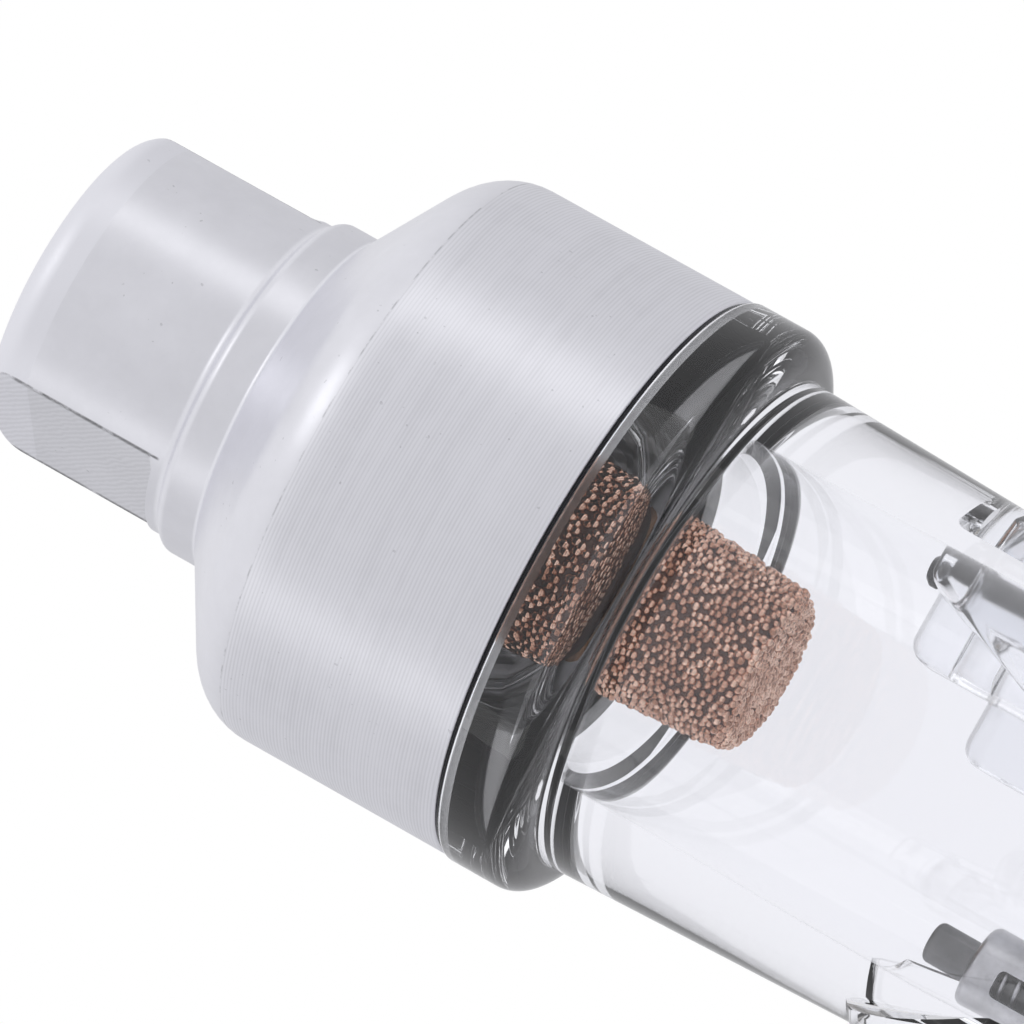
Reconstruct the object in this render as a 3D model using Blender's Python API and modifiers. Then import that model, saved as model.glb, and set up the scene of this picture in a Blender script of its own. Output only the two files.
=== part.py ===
"""In-line gas filter with a turned head, a sintered element, a clear bowl and a push drain.

The axis is Z. The origin is the centre of the inlet end face, and the bowl hangs below it.
The drain valve stands on the -X side of the bowl and the moulded riser on the +X side.
"""

import math

import bmesh
import bpy
from mathutils import Matrix, Vector

mm = 0.001

# Fits
gap = 0.1 * mm  # between pieces that touch
running_clearance = 0.15 * mm  # between a sliding piece and its guide
thread_clearance = 0.15 * mm  # between a plain male and female thread envelope

# Head
head_radius = 13.5 * mm
head_cylinder = 10.2 * mm  # rim to the start of the shoulder arc
shoulder_radius = 3.3 * mm
shoulder_angle = math.radians(56.5)  # cone wall measured from the axis
collar_radius = 8.05 * mm
collar_length = 2.1 * mm
collar_blend = 0.5 * mm
boss_radius = 7.6 * mm
boss_length = 6.8 * mm
boss_edge = 2.0 * mm  # rounding at the inlet face
flats_across = 13.0 * mm
flats_length = 8.6 * mm
flats_angle = math.radians(200)
rim_chamfer = 0.25 * mm

# Inlet, 1/8 pipe thread as a plain bore of its minor diameter
inlet_bore_radius = 4.3 * mm
inlet_bore_depth = 9.4 * mm
inlet_countersink = 0.6 * mm
passage_radius = 2.4 * mm
inlet_washer_thickness = 0.9 * mm

# Bowl thread and seal in the head
neck_radius = 10.9 * mm
neck_length = 6.6 * mm
neck_relief = 0.5 * mm  # depth of the O-ring land below the thread
chamber_depth = 8.9 * mm
o_ring_section = 1.95 * mm
seal_pocket_depth = 2.3 * mm
seal_pocket_radius = 12.8 * mm

# Sintered element and the threaded collar that carries it
element_top_radius = 5.0 * mm
element_end_radius = 3.95 * mm
element_length = 15.4 * mm
element_wall = 1.2 * mm
element_floor = 1.4 * mm
element_edge = 0.8 * mm
carrier_thread_radius = 4.0 * mm
carrier_thread_length = 3.8 * mm
carrier_flange_height = 1.0 * mm
carrier_across_flats = 11.0 * mm
carrier_skirt = 1.6 * mm
carrier_bore_radius = 2.4 * mm
gasket_thickness = 0.5 * mm

# Bowl
flange_radius = 13.6 * mm
flange_band = 2.45 * mm  # height of the flange's straight side
bead_height = 1.4 * mm
bowl_top_radius = 11.75 * mm  # outside, just below the flange
bowl_foot_radius = 10.75 * mm
bowl_neck_bore = 7.8 * mm
bowl_bore = 8.55 * mm
bowl_depth = 28.5 * mm  # flange top to the floor inside
bowl_floor = 5.0 * mm
bowl_foot_edge = 1.0 * mm
bowl_step_depth = 3.4 * mm  # flange top to the step where the bore widens

# Two grip pads on opposite sides of the bowl, narrower at the top
pad_top_width = 8.0 * mm
pad_shoulder_width = 15.0 * mm
pad_shoulder_drop = 6.0 * mm  # top to where the pads reach their full width
pad_height = 0.42 * mm
pad_top_depth = 19.3 * mm
pad_foot_margin = 2.2 * mm

# Moulded riser inside the bowl
riser_inner = 3.6 * mm  # distance of its inner wall from the axis
riser_half_width = 3.3 * mm
riser_top_depth = 12.9 * mm
riser_slant_top = 6.6 * mm  # near half: its inner wall leans towards the axis
riser_slant_foot = 0.9 * mm
riser_duct_inner = 5.9 * mm
riser_duct_outer = 9.6 * mm
riser_duct_half_width = 1.7 * mm
riser_roof = 1.7 * mm
riser_port_radius = 1.1 * mm
riser_port_drop = 1.6 * mm  # duct roof to the centre of the side port
lobe_inner = 0.8 * mm
lobe_half_width = 2.3 * mm
lobe_top_depth = 17.6 * mm
hub_radius = 3.4 * mm
hub_height = 4.2 * mm
duct_radius = 1.1 * mm
duct_rise = 1.9 * mm  # floor to the cross duct's centre
plug_x = 7.55 * mm
plug_radius = 0.6 * mm
plug_head_radius = 0.85 * mm
plug_head_height = 0.6 * mm
plug_shank = 0.5 * mm

# Outlet
insert_radius = 3.6 * mm
insert_length = 3.1 * mm
insert_recess = 0.8 * mm  # O-ring pocket below the insert
spigot_radius = 2.4 * mm
spigot_length = 3.6 * mm
outlet_bore_radius = 1.5 * mm
outlet_neck_radius = 3.6 * mm
outlet_neck_length = 4.9 * mm
outlet_flange_radius = 6.0 * mm
outlet_flange_height = 3.5 * mm
outlet_across_flats = 10.0 * mm
outlet_thread_radius = 4.86 * mm
outlet_thread_length = 8.0 * mm
outlet_thread_root = 4.3 * mm
outlet_undercut = 1.2 * mm
outlet_o_ring_section = 0.7 * mm
outlet_seat_cone = 1.4 * mm
thread_seal_section = 0.8 * mm  # O-ring in the outlet's undercut
thread_seal_groove = 0.5 * mm  # how far its groove goes up into the shoulder

# Drain valve
drain_x = -6.33 * mm
drain_y = -1.5 * mm
drain_shank_radius = 1.95 * mm
drain_flange_radius = 2.5 * mm
drain_flange_height = 1.0 * mm
drain_seat_radius = 1.45 * mm
drain_seat_height = 0.9 * mm
drain_bore_radius = 1.15 * mm
drain_groove_height = 0.9 * mm
drain_o_ring_section = 0.56 * mm
cage_wall = 0.3 * mm
cage_top_depth = 22.7 * mm  # flange top to the cage's top
cage_roof = 0.8 * mm
cage_window_width = 1.1 * mm
cage_window_count = 3
stem_radius = 0.9 * mm
stem_tip_depth = 20.5 * mm
stem_shank_radius = 0.6 * mm
valve_disc_radius = 1.35 * mm
valve_disc_height = 0.6 * mm
valve_seal_height = 0.55 * mm
seal_clip_radius = 0.9 * mm
seal_clip_height = 0.3 * mm
spring_wire_radius = 0.14 * mm
spring_radius = 1.15 * mm
spring_turns = 5
button_radius = 1.3 * mm
button_height = 2.0 * mm
button_wall = 0.7 * mm
drain_travel = 1.5 * mm

# Facets round a full turn
fine = 40
medium = 28
small = 16


def clear_scene():
    for obj in list(bpy.data.objects):
        bpy.data.objects.remove(obj, do_unlink=True)


def new_collection(name):
    collection = bpy.data.collections.new(name)
    bpy.context.scene.collection.children.link(collection)
    return collection


def finish_material(name, color, roughness, metallic):
    material = bpy.data.materials.new(name)
    material.use_nodes = True
    shader = material.node_tree.nodes["Principled BSDF"]
    shader.inputs["Base Color"].default_value = (*color, 1.0)
    shader.inputs["Roughness"].default_value = roughness
    shader.inputs["Metallic"].default_value = metallic
    return material


def place(obj, collection, look=None, parent=None):
    """Links an object, gives it its own material and hangs it under its axis."""
    collection.objects.link(obj)
    if look:
        obj.data.materials.append(finish_material(obj.name + "_finish", *look))
    if parent:
        obj.parent = parent
    return obj


def arc(centre_r, centre_z, radius, start, end, steps):
    """Points of a circular arc in the (radius, height) plane, angles in degrees."""
    points = []
    for i in range(steps + 1):
        turn = math.radians(start + (end - start) * i / steps)
        points.append((centre_r + radius * math.cos(turn), centre_z + radius * math.sin(turn)))
    return points


def turned(name, outline, segments, closed=True):
    """A turned solid: the outline runs down the outside, then back up the bore."""
    mesh = bpy.data.meshes.new(name)
    count = len(outline)
    edges = [(i, i + 1) for i in range(count - 1)]
    if closed:
        edges.append((count - 1, 0))
    mesh.from_pydata([(r, 0.0, z) for r, z in outline], edges, [])
    obj = bpy.data.objects.new(name, mesh)
    screw = obj.modifiers.new("turn", "SCREW")
    screw.axis = "Z"
    screw.angle = math.tau
    screw.steps = segments
    screw.render_steps = segments
    screw.use_merge_vertices = True
    screw.merge_threshold = 0.00001
    screw.use_smooth_shade = True
    return obj


def o_ring(name, ring_radius, section, z, segments, section_segments=10):
    """A closed torus: ring_radius is that of the section's centre."""
    outline = arc(ring_radius, z, section / 2, 90, -270, section_segments)[:-1]
    return turned(name, outline, segments)


def box(name, low, high, round_edges=0.0, steps=3):
    """A box between two corners, with its edges rounded when asked."""
    bm = bmesh.new()
    bmesh.ops.create_cube(bm, size=1.0)
    size = Vector(high) - Vector(low)
    middle = (Vector(high) + Vector(low)) / 2
    bmesh.ops.scale(bm, vec=size, verts=bm.verts)
    bmesh.ops.translate(bm, vec=middle, verts=bm.verts)
    mesh = bpy.data.meshes.new(name)
    bm.to_mesh(mesh)
    bm.free()
    obj = bpy.data.objects.new(name, mesh)
    if round_edges:
        bevel = obj.modifiers.new("round", "BEVEL")
        bevel.width = round_edges
        bevel.segments = steps
    return obj


def prism(name, corners, low_y, high_y):
    """An (x, z) outline drawn out along Y."""
    bm = bmesh.new()
    near = [bm.verts.new((x, low_y, z)) for x, z in corners]
    face = bm.faces.new(near)
    grown = bmesh.ops.extrude_face_region(bm, geom=[face])
    moved = [v for v in grown["geom"] if isinstance(v, bmesh.types.BMVert)]
    bmesh.ops.translate(bm, vec=(0, high_y - low_y, 0), verts=moved)
    bmesh.ops.recalc_face_normals(bm, faces=bm.faces)
    mesh = bpy.data.meshes.new(name)
    bm.to_mesh(mesh)
    bm.free()
    return bpy.data.objects.new(name, mesh)


def rod(name, radius, start, end, segments):
    """A plain cylinder between two points."""
    axis = Vector(end) - Vector(start)
    bm = bmesh.new()
    bmesh.ops.create_cone(
        bm, cap_ends=True, segments=segments, radius1=radius, radius2=radius, depth=axis.length
    )
    turn = axis.to_track_quat("Z", "Y").to_matrix().to_4x4()
    middle = (Vector(start) + Vector(end)) / 2
    bmesh.ops.transform(bm, matrix=Matrix.Translation(middle) @ turn, verts=bm.verts)
    mesh = bpy.data.meshes.new(name)
    bm.to_mesh(mesh)
    bm.free()
    return bpy.data.objects.new(name, mesh)


def combine(obj, helper, operation, helpers, parent=None):
    """A Boolean of obj with a helper, which stays out of the render."""
    place(helper, helpers, parent=parent)
    helper.hide_render = True
    helper.display_type = "WIRE"
    boolean = obj.modifiers.new(helper.name, "BOOLEAN")
    boolean.operation = operation
    boolean.solver = "EXACT"
    boolean.object = helper
    return obj


# Heights, measured from the inlet face at z = 0
shoulder_arc_drop = shoulder_radius * math.sin(shoulder_angle)
shoulder_arc_in = shoulder_radius * (1 - math.cos(shoulder_angle))
cone_top_radius = head_radius - shoulder_arc_in
cone_height = (cone_top_radius - collar_radius) / math.tan(shoulder_angle)
head_length = (
    boss_edge + boss_length + collar_blend + collar_length
    + cone_height + shoulder_arc_drop + head_cylinder
)
rim_z = -head_length
flange_z = rim_z - gap
chamber_z = rim_z + chamber_depth
floor_z = flange_z - bowl_depth
foot_z = floor_z - bowl_floor
seat_z = floor_z + 0.2 * mm  # valve seat, just above the bowl's floor
o_ring_radius = neck_radius - neck_relief + gap + o_ring_section / 2
cage_top_z = flange_z - cage_top_depth
drain_flange_z = foot_z - gap - drain_flange_height
button_z = drain_flange_z - drain_travel - gap  # top of the button at rest


def make_head(parts, helpers):
    cone_z = rim_z + head_cylinder + shoulder_arc_drop
    collar_z = cone_z + cone_height
    boss_z = collar_z + collar_length + collar_blend
    thread_bore = neck_radius + thread_clearance
    carrier_hole = carrier_thread_radius + thread_clearance
    hole_top = chamber_z + carrier_thread_length + gasket_thickness
    outline = [(inlet_bore_radius + inlet_countersink, 0)]
    outline += arc(boss_radius - boss_edge, -boss_edge, boss_edge, 90, 0, 5)
    outline += [(boss_radius, boss_z), (collar_radius, boss_z - collar_blend)]
    outline += [(collar_radius, collar_z)]
    outline += arc(
        head_radius - shoulder_radius, rim_z + head_cylinder, shoulder_radius,
        math.degrees(shoulder_angle), 0, 5,
    )
    outline += [(head_radius, rim_z + rim_chamfer), (head_radius - rim_chamfer, rim_z)]
    outline += [(seal_pocket_radius, rim_z), (seal_pocket_radius, rim_z + seal_pocket_depth)]
    outline += [(thread_bore, rim_z + seal_pocket_depth), (thread_bore, chamber_z)]
    outline += [(carrier_hole, chamber_z), (carrier_hole, hole_top)]
    outline += [(passage_radius, hole_top), (passage_radius, -inlet_bore_depth)]
    outline += [(inlet_bore_radius, -inlet_bore_depth), (inlet_bore_radius, -inlet_countersink)]
    head = turned("head", outline, fine)
    place(head, parts, ((0.78, 0.78, 0.80), 0.38, 1.0))
    for side in (0, 1):
        low = (flats_across / 2, -head_radius, -flats_length)
        high = (head_radius, head_radius, boss_edge)
        cutter = box(f"wrench_flat_cutter_{side + 1}", low, high)
        cutter.rotation_euler.z = flats_angle + side * math.pi
        combine(head, cutter, "DIFFERENCE", helpers)


def make_inlet_washer(parts):
    """A nylon sealing washer on the flat at the bottom of the inlet thread."""
    low = -inlet_bore_depth + gap
    washer = turned(
        "inlet_washer",
        [
            (inlet_bore_radius - gap, low + inlet_washer_thickness),
            (inlet_bore_radius - gap, low),
            (passage_radius, low),
            (passage_radius, low + inlet_washer_thickness),
        ],
        medium,
    )
    place(washer, parts, ((0.85, 0.84, 0.80), 0.5, 0.0))


def make_element(parts, helpers):
    """Gasket, threaded carrier and sintered cup, which hang from the chamber's roof."""
    gasket_z = chamber_z - gap
    carrier_z = gasket_z - gasket_thickness - gap
    cup_z = carrier_z - carrier_flange_height - gap
    gasket_bore = carrier_thread_radius + gap
    gasket = turned(
        "element_gasket",
        [
            (carrier_across_flats / 2, gasket_z),
            (carrier_across_flats / 2, gasket_z - gasket_thickness),
            (gasket_bore, gasket_z - gasket_thickness),
            (gasket_bore, gasket_z),
        ],
        medium,
    )
    place(gasket, parts, ((0.32, 0.10, 0.07), 0.75, 0.0))

    bore_taper = (element_top_radius - element_end_radius) / (element_length - element_floor)
    skirt = element_top_radius - element_wall - bore_taper * carrier_skirt - gap
    thread_top = chamber_z + carrier_thread_length
    corner = carrier_across_flats / 2 / math.cos(math.pi / 6)
    carrier = turned(
        "element_carrier",
        [
            (carrier_thread_radius - 0.4 * mm, thread_top),
            (carrier_thread_radius, thread_top - 0.4 * mm),
            (carrier_thread_radius, carrier_z),
            (corner, carrier_z),
            (corner, carrier_z - carrier_flange_height),
            (skirt, carrier_z - carrier_flange_height),
            (skirt, carrier_z - carrier_flange_height - carrier_skirt),
            (carrier_bore_radius, carrier_z - carrier_flange_height - carrier_skirt),
            (carrier_bore_radius, thread_top),
        ],
        medium,
    )
    place(carrier, parts, ((0.72, 0.55, 0.28), 0.35, 1.0))
    for side in range(6):
        low = (carrier_across_flats / 2, -corner, carrier_z - 2 * carrier_flange_height)
        high = (2 * corner, corner, chamber_z)
        cutter = box(f"carrier_flat_cutter_{side + 1}", low, high)
        cutter.rotation_euler.z = math.radians(60 * side)
        combine(carrier, cutter, "DIFFERENCE", helpers)

    end_z = cup_z - element_length
    taper = (element_top_radius - element_end_radius) / element_length
    edge_radius = element_end_radius + taper * element_edge
    outline = [(element_top_radius, cup_z), (edge_radius, end_z + element_edge)]
    outline += arc(edge_radius - element_edge, end_z + element_edge, element_edge, 0, -90, 4)[1:]
    outline += [(0, end_z), (0, end_z + element_floor)]
    outline += [(element_end_radius - element_wall, end_z + element_floor)]
    outline += [(element_top_radius - element_wall, cup_z)]
    element = turned("filter_element", outline, medium)
    place(element, parts, ((0.45, 0.27, 0.19), 0.45, 1.0))


def make_bowl_seal(parts):
    ring = o_ring("bowl_o_ring", o_ring_radius, o_ring_section,
                  rim_z + seal_pocket_depth / 2, fine)
    place(ring, parts, ((0.012, 0.012, 0.013), 0.35, 0.0))


def bowl_outline():
    """Down the outside of the neck, flange and wall, then up the outlet pocket and the bore."""
    land = neck_radius - neck_relief
    thread_z = rim_z + seal_pocket_depth + 0.4 * mm
    bead_z = flange_z - flange_band
    bead_in = flange_radius - bowl_top_radius
    step_z = flange_z - bowl_step_depth
    pocket = insert_radius + gap
    pocket_top = foot_z + insert_recess + insert_length + gap
    outline = [(bowl_neck_bore, rim_z + neck_length)]
    outline += [(neck_radius - 0.5 * mm, rim_z + neck_length)]
    outline += [(neck_radius, rim_z + neck_length - 0.5 * mm)]
    outline += [(neck_radius, thread_z), (land, thread_z - 0.2 * mm), (land, flange_z)]
    outline += [(flange_radius - 0.15 * mm, flange_z), (flange_radius, flange_z - 0.15 * mm)]
    for i in range(7):
        turn = math.radians(90 * i / 6)
        outline.append((
            bowl_top_radius + bead_in * math.cos(turn),
            bead_z - bead_height * math.sin(turn),
        ))
    outline += [(bowl_foot_radius, foot_z + bowl_foot_edge)]
    outline += arc(
        bowl_foot_radius - bowl_foot_edge, foot_z + bowl_foot_edge, bowl_foot_edge, 0, -90, 3
    )[1:]
    outline += [(pocket, foot_z), (pocket, pocket_top)]
    outline += [(outlet_bore_radius, pocket_top), (outlet_bore_radius, floor_z)]
    outline += [(bowl_bore, floor_z), (bowl_bore, step_z - 0.3 * mm)]
    outline += [(bowl_neck_bore, step_z)]
    return outline


def make_bowl(parts, helpers, drain_axis):
    """The clear bowl with its grip pads, riser, outlet hub, ducts and drain hole."""
    bowl = turned("bowl", bowl_outline(), fine)
    place(bowl, parts, ((0.92, 0.93, 0.95), 0.06, 0.0))

    pad_top = flange_z - pad_top_depth
    wall_top = bowl_top_radius - (bowl_top_radius - bowl_foot_radius) * pad_top_depth / (
        bowl_depth + bowl_floor
    )
    pad_foot = foot_z + pad_foot_margin
    wall_foot = bowl_foot_radius + (bowl_top_radius - bowl_foot_radius) * pad_foot_margin / (
        bowl_depth + bowl_floor
    )
    band = turned(
        "grip_band",
        [
            (wall_top, pad_top + pad_height),
            (wall_top + pad_height, pad_top),
            (wall_foot + pad_height, pad_foot),
            (bowl_bore + 1.0 * mm, pad_foot),
            (bowl_bore + 1.0 * mm, pad_top + pad_height),
        ],
        fine,
    )
    half_top = pad_top_width / 2
    half_shoulder = pad_shoulder_width / 2
    span = prism(
        "grip_span",
        [
            (-half_top, pad_top + 1.0 * mm),
            (half_top, pad_top + 1.0 * mm),
            (half_shoulder, pad_top - pad_shoulder_drop),
            (half_shoulder, pad_foot - 1.0 * mm),
            (-half_shoulder, pad_foot - 1.0 * mm),
            (-half_shoulder, pad_top - pad_shoulder_drop),
        ],
        -2 * flange_radius,
        2 * flange_radius,
    )
    span.rotation_euler.z = math.pi / 2
    combine(band, span, "INTERSECT", helpers)
    combine(bowl, band, "UNION", helpers)

    wall_middle = bowl_bore + 0.9 * mm
    root_z = floor_z - 0.4 * mm  # the pillars start inside the floor
    riser_top = flange_z - riser_top_depth
    far_half = box(
        "riser_far_half",
        (riser_inner, -0.3 * mm, root_z),
        (wall_middle, riser_half_width, riser_top),
        0.9 * mm,
    )
    combine(bowl, far_half, "UNION", helpers)
    near_half = prism(
        "riser_near_half",
        [
            (riser_slant_top, riser_top - 0.05 * mm),
            (wall_middle + 0.4 * mm, riser_top - 0.05 * mm),
            (wall_middle + 0.4 * mm, root_z - 0.1 * mm),
            (riser_slant_foot, root_z - 0.1 * mm),
        ],
        -riser_half_width,
        0.2 * mm,
    )
    combine(bowl, near_half, "UNION", helpers)
    lobe = box(
        "riser_lobe",
        (lobe_inner, -lobe_half_width, root_z - 0.2 * mm),
        (riser_duct_inner, lobe_half_width, flange_z - lobe_top_depth),
        0.8 * mm,
    )
    combine(bowl, lobe, "UNION", helpers)
    hub = rod("outlet_hub", hub_radius, (0, 0, floor_z - 0.5 * mm), (0, 0, floor_z + hub_height), small)
    combine(bowl, hub, "UNION", helpers)

    duct_top = riser_top - riser_roof
    duct = box(
        "riser_duct",
        (riser_duct_inner, -riser_duct_half_width, floor_z + duct_rise - duct_radius),
        (riser_duct_outer, riser_duct_half_width, duct_top),
        0.5 * mm,
        2,
    )
    combine(bowl, duct, "DIFFERENCE", helpers)
    cross_z = floor_z + duct_rise
    cross = rod("cross_duct", duct_radius, (-duct_radius, 0, cross_z),
                ((riser_duct_inner + riser_duct_outer) / 2, 0, cross_z), small)
    combine(bowl, cross, "DIFFERENCE", helpers)
    down = rod("outlet_duct", outlet_bore_radius * 0.97, (0, 0, foot_z + insert_recess),
               (0, 0, cross_z), small)
    combine(bowl, down, "DIFFERENCE", helpers)
    port_z = duct_top - riser_port_drop
    port = rod("riser_port", riser_port_radius, (riser_inner - 1.0 * mm, 0.4 * mm, port_z),
               (riser_duct_inner + 1.0 * mm, 0.4 * mm, port_z), small)
    combine(bowl, port, "DIFFERENCE", helpers)
    hole_foot = riser_top - plug_shank - gap
    plug_hole = rod("plug_hole", plug_radius + gap, (plug_x, 0, hole_foot),
                    (plug_x, 0, riser_top + 1.0 * mm), small)
    combine(bowl, plug_hole, "DIFFERENCE", helpers)
    drain_hole = rod("drain_hole", drain_shank_radius + gap, (0, 0, foot_z - 1.0 * mm),
                     (0, 0, floor_z + 1.0 * mm), small)
    combine(bowl, drain_hole, "DIFFERENCE", helpers, drain_axis)


def make_riser_plug(parts):
    """A rubber plug pressed into the dimple at the riser's top."""
    riser_top = flange_z - riser_top_depth
    plug = turned(
        "riser_plug",
        [
            (0, riser_top + gap + plug_head_height),
            (plug_head_radius * 0.7, riser_top + gap + plug_head_height),
            (plug_head_radius, riser_top + gap + plug_head_height * 0.6),
            (plug_head_radius, riser_top + gap),
            (plug_radius, riser_top + gap),
            (plug_radius, riser_top - plug_shank),
            (0, riser_top - plug_shank),
        ],
        small,
        closed=False,
    )
    plug.location.x = plug_x
    place(plug, parts, ((0.02, 0.02, 0.02), 0.5, 0.0))


def make_outlet(parts, helpers):
    insert_foot = foot_z + insert_recess
    insert = turned(
        "outlet_insert",
        [
            (insert_radius, insert_foot + insert_length),
            (insert_radius, insert_foot + insert_length * 0.62),
            (insert_radius - 0.3 * mm, insert_foot + insert_length * 0.56),
            (insert_radius - 0.3 * mm, insert_foot + insert_length * 0.44),
            (insert_radius, insert_foot + insert_length * 0.38),
            (insert_radius, insert_foot),
            (spigot_radius + gap, insert_foot),
            (spigot_radius + gap, insert_foot + insert_length),
        ],
        medium,
    )
    place(insert, parts, ((0.72, 0.55, 0.28), 0.35, 1.0))

    seal = o_ring(
        "outlet_o_ring",
        spigot_radius + gap + outlet_o_ring_section / 2,
        outlet_o_ring_section,
        foot_z + insert_recess / 2 - gap / 2,
        medium,
        8,
    )
    place(seal, parts, ((0.012, 0.012, 0.013), 0.4, 0.0))

    top = foot_z - gap
    shoulder = top - outlet_neck_length
    thread_top = shoulder - outlet_flange_height
    thread_foot = thread_top - outlet_thread_length
    groove_radius = outlet_thread_root + thread_seal_section + 1.5 * gap
    groove_roof = thread_top + thread_seal_groove
    outline = [
        (outlet_bore_radius, top + spigot_length),
        (spigot_radius - 0.3 * mm, top + spigot_length),
        (spigot_radius, top + spigot_length - 0.3 * mm),
        (spigot_radius, top),
        (outlet_neck_radius, top),
        (outlet_neck_radius, shoulder + 0.6 * mm),
        (outlet_neck_radius + 0.6 * mm, shoulder),
        (outlet_flange_radius - 0.4 * mm, shoulder),
        (outlet_flange_radius, shoulder - 0.4 * mm),
        (outlet_flange_radius, thread_top + 0.4 * mm),
        (outlet_flange_radius - 0.4 * mm, thread_top),
        (groove_radius, thread_top),
        (groove_radius, groove_roof),
        (outlet_thread_root, groove_roof),
        (outlet_thread_root, thread_top - outlet_undercut),
        (outlet_thread_radius, thread_top - outlet_undercut - 0.5 * mm),
        (outlet_thread_radius, thread_foot + 0.7 * mm),
        (outlet_thread_radius - 0.7 * mm, thread_foot),
        (outlet_bore_radius + outlet_seat_cone, thread_foot),
        (outlet_bore_radius, thread_foot + outlet_seat_cone * 1.7),
    ]
    fitting = turned("outlet_fitting", outline, medium)
    place(fitting, parts, ((0.75, 0.73, 0.68), 0.25, 1.0))
    for side in (0, 1):
        low = (outlet_across_flats / 2, -2 * outlet_flange_radius, thread_top - gap)
        high = (2 * outlet_flange_radius, 2 * outlet_flange_radius, shoulder + 1.0 * mm)
        cutter = box(f"outlet_flat_cutter_{side + 1}", low, high)
        cutter.rotation_euler.z = math.atan2(drain_y, drain_x) + side * math.pi
        combine(fitting, cutter, "DIFFERENCE", helpers)
    ring_radius = outlet_thread_root + gap / 2 + thread_seal_section / 2
    ring_z = groove_roof - gap / 2 - thread_seal_section / 2
    ring = o_ring("outlet_thread_seal", ring_radius, thread_seal_section, ring_z, medium, 8)
    place(ring, parts, ((0.012, 0.012, 0.013), 0.4, 0.0))


def make_drain_body(parts, helpers, axis):
    """The fixed pieces of the drain: threaded bush, its seal and the spring cage."""
    step_z = seat_z - drain_seat_height
    groove_z = (foot_z + step_z) / 2
    groove = drain_shank_radius - drain_o_ring_section + 0.1 * mm
    bush = turned(
        "drain_bush",
        [
            (drain_bore_radius, seat_z),
            (drain_seat_radius, seat_z),
            (drain_seat_radius, step_z),
            (drain_shank_radius, step_z),
            (drain_shank_radius, groove_z + drain_groove_height / 2),
            (groove, groove_z + drain_groove_height / 2),
            (groove, groove_z - drain_groove_height / 2),
            (drain_shank_radius, groove_z - drain_groove_height / 2),
            (drain_shank_radius, foot_z - gap),
            (drain_flange_radius, foot_z - gap),
            (drain_flange_radius, drain_flange_z + 0.25 * mm),
            (drain_flange_radius - 0.25 * mm, drain_flange_z),
            (drain_bore_radius, drain_flange_z),
        ],
        small,
    )
    place(bush, parts, ((0.74, 0.72, 0.68), 0.3, 1.0), axis)

    ring_radius = drain_shank_radius + gap - drain_o_ring_section / 2 - 0.04 * mm
    seal = o_ring("drain_bush_o_ring", ring_radius, drain_o_ring_section, groove_z, small, 6)
    place(seal, parts, ((0.012, 0.012, 0.013), 0.4, 0.0), axis)

    inner = drain_seat_radius + gap
    outer = inner + cage_wall
    roof_z = cage_top_z - cage_roof
    cage_foot = step_z + gap
    cage = turned(
        "drain_cage",
        [
            (stem_radius + running_clearance, cage_top_z),
            (outer - 0.4 * mm, cage_top_z),
            (outer, cage_top_z - 0.4 * mm),
            (outer, cage_foot),
            (inner, cage_foot),
            (inner, roof_z),
            (stem_radius + running_clearance, roof_z),
        ],
        small + 4,
    )
    place(cage, parts, ((0.60, 0.60, 0.60), 0.35, 1.0), axis)
    window_low = seat_z + 0.4 * mm
    window_high = roof_z - 0.6 * mm
    for i in range(cage_window_count):
        low = (stem_radius + 0.5 * mm, -cage_window_width / 2, window_low)
        high = (outer + 1.0 * mm, cage_window_width / 2, window_high)
        window = box(f"cage_window_{i + 1}", low, high)
        window.rotation_euler.z = math.tau * (i + 0.25) / cage_window_count
        combine(cage, window, "DIFFERENCE", helpers, axis)


def make_drain_plunger(parts, axis):
    """The pieces that rise together when the button is pressed."""
    seal_z = seat_z + gap
    disc_z = seal_z + valve_seal_height + gap
    seal = turned(
        "drain_seal",
        [
            (valve_disc_radius, seal_z + valve_seal_height),
            (valve_disc_radius, seal_z),
            (stem_shank_radius + gap, seal_z),
            (stem_shank_radius + gap, seal_z + valve_seal_height),
        ],
        small,
    )
    place(seal, parts, ((0.02, 0.02, 0.02), 0.5, 0.0), axis)

    clip_top = seal_z - gap
    clip = turned(
        "seal_clip",
        [
            (seal_clip_radius, clip_top),
            (seal_clip_radius, clip_top - seal_clip_height),
            (stem_shank_radius + gap / 2, clip_top - seal_clip_height),
            (stem_shank_radius + gap / 2, clip_top),
        ],
        small,
    )
    place(clip, parts, ((0.55, 0.55, 0.56), 0.3, 1.0), axis)

    tip_z = flange_z - stem_tip_depth
    foot = button_z - button_height + button_wall
    stem = turned(
        "drain_stem",
        [(0, tip_z)]
        + arc(stem_radius - 0.35 * mm, tip_z - 0.35 * mm, 0.35 * mm, 90, 0, 3)
        + [
            (stem_radius, disc_z + valve_disc_height),
            (valve_disc_radius, disc_z + valve_disc_height),
            (valve_disc_radius, disc_z),
            (stem_shank_radius, disc_z),
            (stem_shank_radius, foot + gap),
            (0, foot + gap),
        ],
        small,
        closed=False,
    )
    place(stem, parts, ((0.42, 0.42, 0.43), 0.35, 1.0), axis)

    low = button_z - button_height
    hole = stem_shank_radius + gap
    button = turned(
        "drain_button",
        [
            (hole, button_z),
            (button_radius - 0.2 * mm, button_z),
            (button_radius, button_z - 0.2 * mm),
        ]
        + arc(button_radius - 0.5 * mm, low + 0.5 * mm, 0.5 * mm, 0, -90, 3)
        + [(0, low), (0, foot), (hole, foot)],
        small,
    )
    place(button, parts, ((0.74, 0.72, 0.68), 0.3, 1.0), axis)


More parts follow.
